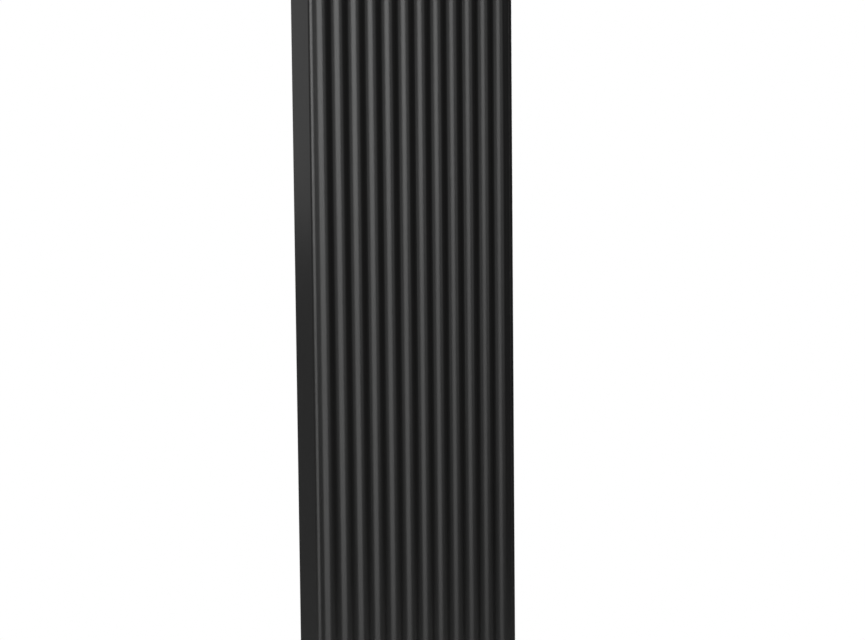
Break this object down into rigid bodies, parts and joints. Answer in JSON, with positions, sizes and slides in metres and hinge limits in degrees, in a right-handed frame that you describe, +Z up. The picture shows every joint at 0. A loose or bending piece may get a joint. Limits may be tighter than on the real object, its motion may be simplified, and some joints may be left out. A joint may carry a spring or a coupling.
{
  "type": "radiator with valve",
  "caption": "Tall vertical wall radiator with a fluted satin black front and plain side panels, fed from below by a thermostatic valve block.",
  "frame": {"origin": "centre of the lower wall rail's back face, on the wall plane", "axes": "+Z up, +Y into the wall, -Y out of the fluted front, +X to the right as seen from the front"},
  "size_m": [0.315, 0.115, 1.89],
  "materials": {
    "casing_coat": "satin near-black powder coat on aluminium",
    "bare_aluminium": "mill",
    "black_steel": "matte black powder coat on steel",
    "zinc_steel": "bright zinc plate",
    "spring_steel": "stainless, polished",
    "nickel_brass": "satin nickel plate on brass",
    "bare_brass": "machined",
    "head_plastic": "fine-textured black",
    "seal_rubber": "matte",
    "pad_plastic": "natural nylon"
  },
  "bodies": {
    "radiator": {"element_1": "casing_coat", "element_2": "casing_coat", "element_3": "casing_coat", "element_4": "casing_coat", "left_side_panel": "casing_coat", "right_side_panel": "casing_coat", "top_header": "casing_coat", "bottom_header": "casing_coat", "top_left_header_cap": "casing_coat", "top_right_header_cap": "casing_coat", "bottom_left_header_cap": "casing_coat", "bottom_right_header_cap": "casing_coat", "flow_baffle": "bare_aluminium", "top_left_panel_clip": "zinc_steel", "top_right_panel_clip": "zinc_steel", "bottom_left_panel_clip": "zinc_steel", "bottom_right_panel_clip": "zinc_steel", "lower_wall_rail": "black_steel", "upper_wall_rail": "black_steel", "lower_left_lug": "black_steel", "lower_right_lug": "black_steel", "upper_left_lug": "black_steel", "upper_right_lug": "black_steel", "lower_left_rail_pad": "pad_plastic", "lower_right_rail_pad": "pad_plastic", "upper_left_rail_pad": "pad_plastic", "upper_right_rail_pad": "pad_plastic", "left_levelling_screw": "zinc_steel", "right_levelling_screw": "zinc_steel", "vent_plug": "nickel_brass", "vent_seal": "seal_rubber", "left_nipple": "nickel_brass", "right_nipple": "nickel_brass", "left_union_nut": "nickel_brass", "right_union_nut": "nickel_brass", "left_union_seal": "seal_rubber", "right_union_seal": "seal_rubber", "valve_body": "nickel_brass", "left_stem_seal": "seal_rubber", "right_stem_seal": "seal_rubber", "left_gland_ring": "nickel_brass", "right_gland_ring": "nickel_brass", "insert_body": "bare_brass", "insert_spring": "spring_steel", "insert_gland": "bare_brass", "head_union_nut": "nickel_brass", "head_base": "head_plastic", "head_spring": "spring_steel"},
    "grille": {"top_grille": "casing_coat"},
    "thermostat_cap": {"head_cap": "head_plastic", "head_end_cover": "head_plastic"},
    "sensor": {"head_sensor": "bare_brass", "head_plunger": "spring_steel"},
    "valve_spindle": {"insert_spindle": "spring_steel", "valve_disc": "seal_rubber"},
    "left_isolator": {"left_isolator_plug": "bare_brass"},
    "right_isolator": {"right_isolator_plug": "bare_brass"},
    "bleed_screw": {"vent_screw": "bare_brass"},
    "vent_nozzle": {"vent_nozzle_ring": "head_plastic"}
  },
  "joints": [
    {"name": "grille_lift", "type": "slide", "parent": "radiator", "child": "grille", "axis": [0, 0, 1], "range_m": [0, 0.05]},
    {"name": "cap_turn", "type": "hinge", "parent": "radiator", "child": "thermostat_cap", "pos_m": [0.1, -0.08, -0.134], "axis": [1, 0, 0], "range_deg": [0, 290]},
    {"name": "sensor_travel", "type": "slide", "parent": "radiator", "child": "sensor", "axis": [1, 0, 0], "range_m": [0, 0.0024], "deforming": ["head_spring"]},
    {"name": "spindle_travel", "type": "slide", "parent": "radiator", "child": "valve_spindle", "axis": [1, 0, 0], "range_m": [0, 0.0024], "deforming": ["insert_spring"]},
    {"name": "left_isolator_turn", "type": "hinge", "parent": "radiator", "child": "left_isolator", "pos_m": [-0.025, -0.08, -0.163], "axis": [0, 1, 0], "range_deg": [0, 90]},
    {"name": "right_isolator_turn", "type": "hinge", "parent": "radiator", "child": "right_isolator", "pos_m": [0.025, -0.08, -0.163], "axis": [0, 1, 0], "range_deg": [0, 90]},
    {"name": "bleed_screw_turn", "type": "hinge", "parent": "radiator", "child": "bleed_screw", "pos_m": [0.148, -0.08, 1.638], "axis": [1, 0, 0], "range_deg": [0, 360]},
    {"name": "vent_nozzle_turn", "type": "hinge", "parent": "radiator", "child": "vent_nozzle", "pos_m": [0.15, -0.08, 1.638], "axis": [1, 0, 0], "continuous": true}
  ],
  "couplings": [
    {"joint": "sensor_travel", "follows": "cap_turn", "m_per_rad": 0.000474},
    {"joint": "spindle_travel", "follows": "cap_turn", "m_per_rad": 0.000474}
  ]
}
